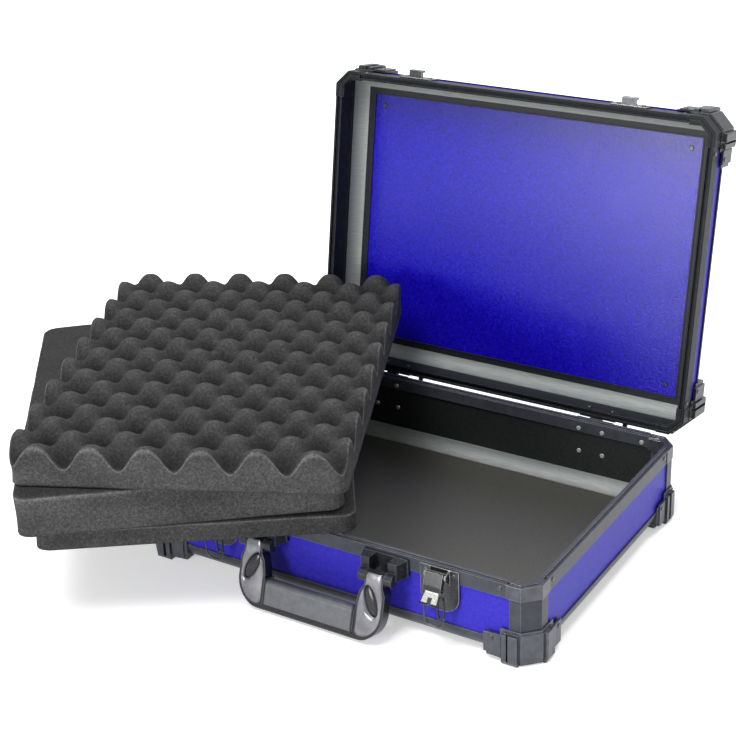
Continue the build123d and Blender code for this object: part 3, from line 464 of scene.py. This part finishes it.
def foam_piece(name, size, centre, turn, low, high, crest, deep, step, seed):
    """Closed foam sheet with rounded edges, pulled-in sides and crest(u, v) cut in its top."""
    half_u = size[0] * MM / 2
    half_v = size[1] * MM / 2
    nu = round(2 * half_u / step)
    nv = round(2 * half_v / step)
    matrix = Matrix.Translation((centre[0] * MM, centre[1] * MM, 0))
    matrix = matrix @ Matrix.Rotation(math.radians(turn), 4, "Z")
    drift = Vector([seed * each for each in SEED_STEP])
    bm = bmesh.new()
    tone = bm.verts.layers.float.new("tone")

    def wander(u, v, z, scale):
        return noise.noise(Vector((u, v, z)) * scale + drift)

    def add(u, v, z, shade):
        p = matrix @ Vector((u, v, z))
        p.z -= droop(p)
        vert = bm.verts.new(p)
        vert[tone] = shade
        return vert

    def cell(i, j):
        return (2 * i / nu - 1) * half_u, (2 * j / nv - 1) * half_v

    top = {}
    height = {}
    for i in range(nu + 1):
        for j in range(nv + 1):
            u0, v0 = cell(i, j)
            u, v = rounded(u0, v0, half_u, half_v, SOFT)
            rise = crest(u, v)
            z = high - deep * (1 - rise) - abs(wander(u, v, high, TOP_WAVES)) * WAVE * MM
            height[i, j] = z
            # Painted shade on the top: the hollows darker, the crests lighter, a flat top in between.
            top[i, j] = add(u, v, z, 0.10 + 0.62 * rise**1.3 if deep else 0.38)
    for i in range(nu):
        for j in range(nv):
            bm.faces.new([top[i, j], top[i + 1, j], top[i + 1, j + 1], top[i, j + 1]])
    rim = [(i, 0) for i in range(nu)] + [(nu, j) for j in range(nv)]
    rim += [(i, nv) for i in range(nu, 0, -1)] + [(0, j) for j in range(nv, 0, -1)]
    rings = [[top[key] for key in rim]]
    for k in range(SIDE_ROWS + 1):
        t = k / SIDE_ROWS
        ring = []
        for key in rim:
            u0, v0 = cell(*key)
            z_high = height[key] - SOFT * 0.8
            z_low = low + SOFT * 0.8
            z = z_high + (z_low - z_high) * t
            inward = 0.25 * MM + PULL_IN * MM * math.sin(math.pi * t)
            inward += abs(wander(u0, v0, z, SIDE_WAVES)) * WAVE * MM
            u, v = rounded(u0, v0, half_u, half_v, inward)
            # Painted light on the sides: a painted highlight along the cut edge at the top, the rest
            # lighter than a flat top, with a random spread.
            shade = 0.95 if k == 0 else 0.74 + 0.10 * wander(u0, v0, z * 4, 9)
            ring.append(add(u, v, z, shade))
        rings.append(ring)
    base = []
    for key in rim:
        u, v = rounded(*cell(*key), half_u, half_v, SOFT)
        # Painted shade on the underside.
        base.append(add(u, v, low + 0.1 * MM, 0.35))
    rings.append(base)
    for upper, lower in zip(rings, rings[1:]):
        count = len(upper)
        for k in range(count):
            m = (k + 1) % count
            bm.faces.new([upper[m], upper[k], lower[k], lower[m]])
    bm.faces.new(list(reversed(base)))
    bmesh.ops.recalc_face_normals(bm, faces=bm.faces)
    return new_object(name, bm, foam_grey)


STACK = (  # body, CAD sheet, size, centre, turn, top, depth of the hollows, mesh step
    ("foam_bottom", "foam_bottom_sheet", (316, 412), (-214.8, -79.2), 34.0, level, 0.0, 6.0),
    ("foam_middle", "foam_middle_sheet", (320, 420), (-234.6, -90.9), 37.0, level, 0.0, 6.0),
    ("foam_egg_crate", "foam_egg_crate_sheet", (332, 446), (-191.5, -67.0), 23.6, domes, EGG_DEEP, 3.0),
)
for index, (body, cad, size, centre, turn, crest, deep, step) in enumerate(STACK):
    lowest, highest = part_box(cad)
    label = cad.replace("sheet", "foam")
    low = lowest.z
    high = highest.z
    piece = foam_piece(label, size, centre, turn, low, high, crest, deep, step * MM, index + 1)
    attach(piece, body)
    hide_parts(cad)


# ---------------------------------------------------------------- latch and handle details
LATCH_X = 129.5  # middle of a latch, from the middle of the case (these in mm)
LEVER_Y = -181.0
LEVER_Z = 75.5
LEVER_TILT = math.radians(20)
BAIL_DROP = 12.5  # wire loop's pivot below the lever's
HANDLE_Y = -189.4
HANDLE_Z = 61.0
HANDLE_TILT = math.radians(17)
FACE = 6.5  # front of an arm before the handle's pivot
TIP_ROWS = ((15.2, 1.9, 7.0), (17.2, 1.9, 7.2), (21.0, 3.7, 7.7), (27.2, 6.6, 8.4))  # down, out, half width
NOTCH = 2.2  # half width
TIP_SHEET = 1.3
ROLL_AT = (27.4, 6.9)  # rolled end of the tip: down and out
ROLL_HALF = 9.3
ROLL_R = 1.25
WIRE_R = 0.95
LINK_R = 1.2
COLLAR_R = 0.9
WIRE_LEG = ((-7, 0), (-10.6, 0), (-11, -2), (-10.8, -30), (-9.6, -38), (-5.5, -41.6), (0, -42))
WIRE_LINK = ((9.0, -7), (12.2, -12), (11.8, -25), (8.6, -31), (5.4, -27), (5.6, -13))
LINK_OUT = 2.1  # the link hangs this far before the wire
COLLAR_X = 51.6
COLLAR = (
    (-33.2, -5.6), (-33.2, 5.8), (-35.2, 7.9), (-57.5, 7.9),
    (-59.6, 5.8), (-59.6, -5.6), (-57.5, -6.9), (-35.2, -6.9),
)


def lever_spot(x, down, out):
    """World place, from millimetres across the latch lever, along it from its pivot and out of its face."""
    c = math.cos(LEVER_TILT)
    s = math.sin(LEVER_TILT)
    return Vector((x, LEVER_Y - down * s - out * c, LEVER_Z - down * c + out * s)) * MM


def handle_spot(x, up, out):
    """World place, from millimetres across the handle, up it from its pivot and out of its face."""
    c = math.cos(HANDLE_TILT)
    s = math.sin(HANDLE_TILT)
    return Vector((x, HANDLE_Y + up * s - out * c, HANDLE_Z + up * c + out * s)) * MM


def smooth_path(points, steps=8, closed=False):
    """Points along a smooth curve through the given ones."""
    count = len(points)
    path = []
    for k in range(count if closed else count - 1):
        if closed:
            a, b, c, d = (points[(k + m) % count] for m in (-1, 0, 1, 2))
        else:
            a, b, c, d = points[max(k - 1, 0)], points[k], points[k + 1], points[min(k + 2, count - 1)]
        for step in range(steps):
            t = step / steps
            square = 2 * a - 5 * b + 4 * c - d
            cube = 3 * b - a - 3 * c + d
            path.append(0.5 * (2 * b + (c - a) * t + square * t**2 + cube * t**3))
    if not closed:
        path.append(points[-1].copy())
    return path


def tube(name, path, radius, material, closed=False, sides=12):
    """Round wire along a path."""
    bm = bmesh.new()
    rings = []
    count = len(path)
    side = None
    for k in range(count):
        ahead = path[(k + 1) % count] if closed or k < count - 1 else path[k]
        behind = path[k - 1] if closed or k else path[k]
        along = (ahead - behind).normalized()
        if side is None:
            side = along.orthogonal().normalized()
        side = (side - along * side.dot(along)).normalized()
        other = along.cross(side)
        ring = []
        for m in range(sides):
            angle = 2 * math.pi * m / sides
            out = side * math.cos(angle) + other * math.sin(angle)
            ring.append(bm.verts.new(path[k] + out * radius * MM))
        rings.append(ring)
    pairs = list(zip(rings, rings[1:]))
    if closed:
        pairs.append((rings[-1], rings[0]))
    else:
        bm.faces.new(list(reversed(rings[0])))
        bm.faces.new(rings[-1])
    for first, second in pairs:
        for m in range(sides):
            n = (m + 1) % sides
            bm.faces.new([first[m], first[n], second[n], second[m]])
    bmesh.ops.recalc_face_normals(bm, faces=bm.faces)
    return new_object(name, bm, material)


def finger_tip(name, x_mid):
    """Flared sheet below the lever with a notch open at its lower edge."""
    bm = bmesh.new()
    grid = []
    for down, out, half in TIP_ROWS:
        across = (-half, -NOTCH, NOTCH, half)
        grid.append([bm.verts.new(lever_spot(x_mid + x, down, out)) for x in across])
    for r in range(3):
        for c in range(3):
            if (r, c) != (2, 1):
                bm.faces.new([grid[r][c], grid[r][c + 1], grid[r + 1][c + 1], grid[r + 1][c]])
    bmesh.ops.recalc_face_normals(bm, faces=bm.faces)
    bmesh.ops.solidify(bm, geom=bm.faces[:], thickness=TIP_SHEET * MM)
    bmesh.ops.recalc_face_normals(bm, faces=bm.faces)
    return new_object(name, bm, chrome, False)


def ring_band(name, place_at, profile, material, turns=64):
    """Closed band round an opening: profile rows of (share between the two outlines, height)."""
    bm = bmesh.new()
    rows = []
    for share, height in profile:
        rows.append([bm.verts.new(place_at(2 * math.pi * k / turns, share, height)) for k in range(turns)])
    for first, second in zip(rows, rows[1:] + rows[:1]):
        for k in range(turns):
            m = (k + 1) % turns
            bm.faces.new([first[k], first[m], second[m], second[k]])
    bmesh.ops.recalc_face_normals(bm, faces=bm.faces)
    return new_object(name, bm, material)


ARM_EDGE = (
    (61.6, 4.6), (78.8, 4.6), (78.8, -7.6), (81.8, -17), (81.8, -37), (80.9, -44), (78.1, -50.7),
    (73.7, -56.3), (68, -60.2), (61, -61.5), (55.2, -60), (55.2, -29.5), (57.6, -17.5), (61.6, -9.5),
)
LENS = (69.5, -23.5)  # middle of the lens, across and up from the handle's pivot
LENS_TURN = math.radians(24)
HOLLOW = (16.4, 6.7)  # half length and half width of the hollow
GLASS = (15.7, 6.0)  # and of the lens in it
PLATE_ROWS = (  # share of the way from the hollow to the edge, height
    (0.0, -0.6), (0.02, 0.15), (0.2, 0.75), (0.45, 1.0), (0.7, 0.9), (0.9, 0.5), (1.0, 0.1), (0.98, -0.2),
)
LENS_ROWS = ((1.0, -1.15), (1.0, -0.9), (0.85, -0.35), (0.6, 0.15), (0.3, 0.45))
LENS_TURNS = 40


def edge_distance(angle):
    """Distance from the middle of the lens to the edge of the arm plate in one direction."""
    c = math.cos(angle)
    s = math.sin(angle)
    best = 0.0
    for (ax, ay), (bx, by) in zip(ARM_EDGE, ARM_EDGE[1:] + ARM_EDGE[:1]):
        ax, bx = ax - LENS[0], bx - LENS[0]
        ay, by = ay - LENS[1], by - LENS[1]
        cross = (bx - ax) * s - (by - ay) * c
        if abs(cross) < 1e-9:
            continue
        share = (ay * c - ax * s) / cross
        reach = (ax + (bx - ax) * share) * c + (ay + (by - ay) * share) * s
        if -1e-6 <= share <= 1 + 1e-6 and reach > 0:
            best = max(best, reach)
    return best


def oval_distance(angle, halves):
    """Distance from the middle of the lens to an oval round it."""
    turned = angle - LENS_TURN
    return halves[0] * halves[1] / math.hypot(halves[0] * math.cos(turned), halves[1] * math.sin(turned))


def arm_spot(side, angle, far, height):
    """World place on the front of an arm, by angle and distance from the middle of the lens."""
    across = side * (LENS[0] + far * math.cos(angle))
    return handle_spot(across, LENS[1] + far * math.sin(angle), FACE + height)


def arm_plate(side, label):
    """Domed plate on the front of an arm, open round the lens."""

    def on_arm(angle, share, height):
        inner = oval_distance(angle, HOLLOW)
        return arm_spot(side, angle, inner + (edge_distance(angle) - inner) * share, height)

    return ring_band("handle_%s_arm_plate" % label, on_arm, PLATE_ROWS, arm_grey)


def arm_lens(side, label):
    """Dark lens in the hollow of an arm."""
    bm = bmesh.new()
    rows = []
    for share, height in LENS_ROWS:
        row = []
        for k in range(LENS_TURNS):
            angle = 2 * math.pi * k / LENS_TURNS
            spot = arm_spot(side, angle, oval_distance(angle, GLASS) * share, height)
            row.append(bm.verts.new(spot))
        rows.append(row)
    for first, second in zip(rows, rows[1:]):
        for k in range(LENS_TURNS):
            m = (k + 1) % LENS_TURNS
            bm.faces.new([first[k], first[m], second[m], second[k]])
    bm.faces.new(list(reversed(rows[0])))
    bm.faces.new(rows[-1])
    bmesh.ops.recalc_face_normals(bm, faces=bm.faces)
    return new_object("handle_%s_arm_lens" % label, bm, latch_black)


def lever_details(side, label):
    """Notched tip of the lever and the rolled end under it."""
    x_mid = side * LATCH_X
    tip = finger_tip("latch_%s_finger_tip" % label, x_mid)
    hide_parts("latch_%s_tip" % label)
    ends = [lever_spot(x_mid + x, *ROLL_AT) for x in (-ROLL_HALF, 0.0, ROLL_HALF)]
    # The rolled end takes the lever's black as painted shade, where the end of the bright tip lies in
    # shade.
    roll = tube("latch_%s_tip_roll" % label, ends, ROLL_R, latch_black)
    for piece in (tip, roll):
        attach(piece, "latch_%s_lever" % label)


def wire_path(side, outline, before=0.0, closed=False):
    """Smooth path through points given from the wire loop's pivot."""
    pin = lever_spot(0, BAIL_DROP, 0) / MM
    spots = [Vector((side * LATCH_X + x, pin.y - before, pin.z + z)) * MM for x, z in outline]
    return smooth_path(spots, closed=closed)


def wire_loop(side, label):
    """Wire loop that hangs from the lever."""
    outline = list(WIRE_LEG) + [(-x, z) for x, z in reversed(WIRE_LEG[:-1])]
    bail = tube("latch_%s_wire_loop" % label, wire_path(side, outline), WIRE_R, wire)
    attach(bail, "latch_%s_bail" % label)
    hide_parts("latch_%s_wire_bail" % label)


def arm_details(side, label):
    """Plate and lens on the front of a handle arm."""
    for piece in (arm_plate(side, label), arm_lens(side, label)):
        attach(piece, "handle")


def spring_link(side, label):
    """Dark link that hangs on the wire loop."""
    path = wire_path(side, WIRE_LINK, before=LINK_OUT, closed=True)
    link = tube("latch_%s_spring_link" % label, path, LINK_R, latch_black, closed=True)
    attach(link, "latch_%s_bail" % label)


def grip_collar(side, label):
    """Ring where the grip meets an arm."""
    around = smooth_path([handle_spot(side * COLLAR_X, up, out) for up, out in COLLAR], closed=True)
    collar = tube("handle_%s_grip_collar" % label, around, COLLAR_R, latch_black, closed=True)
    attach(collar, "handle")


for side, label in ((-1, "left"), (1, "right")):
    lever_details(side, label)
    wire_loop(side, label)
    arm_details(side, label)
    spring_link(side, label)
    grip_collar(side, label)


# ---------------------------------------------------------------- floor, light, camera
FLOOR_Z = -5.0 * MM  # the feet stand on it
LIGHT_GIVEN = 0.10  # strength at which the floor lights the case
NEAR_WHITE = 0.45  # what is seen of it near the case, where its shadow lies
WHITE = 1.0
NEAR, FAR = 0.7, 2.2
LAMPS = (  # name, place, aim, side, watts
    ("key", (-0.25, -1.1, 2.4), (0, 0, 0.1), 1.1, 52),
    ("front", (-0.45, -2.0, 0.52), (0.15, 0.2, 0.3), 0.5, 17),
    ("back", (0.2, 1.2, 2.2), (-0.1, 0, 0.1), 0.9, 46),
)
CAMERA_AT = (0.8139, -1.3668, 0.9335)
AZIMUTH, ELEVATION, ROLL = (math.radians(angle) for angle in (32.35, 25.03, -2.16))
FOCAL_PIXELS = 1693.8
IMAGE_PIXELS = 736.0
SENSOR = 36.0
WORLD_LIGHT = 0.40


def floor():
    """Pale floor that is seen white away from the case and keeps its shadow near it."""
    bm = bmesh.new()
    bmesh.ops.create_grid(bm, x_segments=1, y_segments=1, size=6.0)
    mat, tree, shader = new_material("pale_floor")
    vector = coords(tree)
    tone = ramp(tree, noise_tex(tree, vector, 3), [(0.3, (0.86, 0.86, 0.86)), (0.7, (0.88, 0.88, 0.88))])
    tree.links.new(tone, shader.inputs["Base Color"])
    shader.inputs["Roughness"].default_value = 0.9
    shader.inputs["Specular IOR Level"].default_value = 0.0
    shader.inputs["Emission Color"].default_value = (1.0, 1.0, 1.0, 1.0)
    reach = node(tree, "ShaderNodeVectorMath", operation="LENGTH")
    tree.links.new(coords(tree), reach.inputs[0])
    seen = spread(tree, reach.outputs["Value"], NEAR_WHITE, WHITE, NEAR, FAR)
    white_where_seen(tree, LIGHT_GIVEN, NEAR_WHITE, shader.inputs["Emission Strength"], seen)
    obj = new_object("pale_floor", bm, mat, False)
    obj.location.z = FLOOR_Z


def lamp(name, place_at, aim, size, power):
    """Square area light turned to its aim."""
    data = bpy.data.lights.new(name, "AREA")
    data.shape = "SQUARE"
    data.size = size
    data.energy = power
    obj = bpy.data.objects.new(name, data)
    obj.location = place_at
    toward = Vector(aim) - Vector(place_at)
    obj.rotation_euler = toward.to_track_quat("-Z", "Y").to_euler()
    scene.collection.objects.link(obj)


def camera():
    """Camera as it was fitted to the photograph."""
    flat = math.cos(ELEVATION)
    forward = Vector((-math.sin(AZIMUTH) * flat, math.cos(AZIMUTH) * flat, -math.sin(ELEVATION)))
    flat_right = Vector((math.cos(AZIMUTH), math.sin(AZIMUTH), 0))
    flat_up = flat_right.cross(forward)
    right = math.cos(ROLL) * flat_right + math.sin(ROLL) * flat_up
    up = -math.sin(ROLL) * flat_right + math.cos(ROLL) * flat_up
    data = bpy.data.cameras.new("photo_view")
    data.sensor_fit = "HORIZONTAL"
    data.sensor_width = SENSOR
    data.lens = FOCAL_PIXELS * SENSOR / IMAGE_PIXELS
    data.clip_end = 50
    obj = bpy.data.objects.new("photo_view", data)
    turn = Matrix((right, up, -forward)).transposed().to_4x4()
    obj.matrix_world = Matrix.Translation(CAMERA_AT) @ turn
    scene.collection.objects.link(obj)
    scene.camera = obj


floor()
for each in LAMPS:
    lamp(*each)
camera()

world = bpy.data.worlds.new("studio")
world.use_nodes = True
sky = world.node_tree.nodes["Background"]
sky.inputs["Color"].default_value = (1.0, 1.0, 1.0, 1.0)
white_where_seen(world.node_tree, WORLD_LIGHT, WHITE, sky.inputs["Strength"])
scene.world = world
scene.view_settings.view_transform = "Standard"
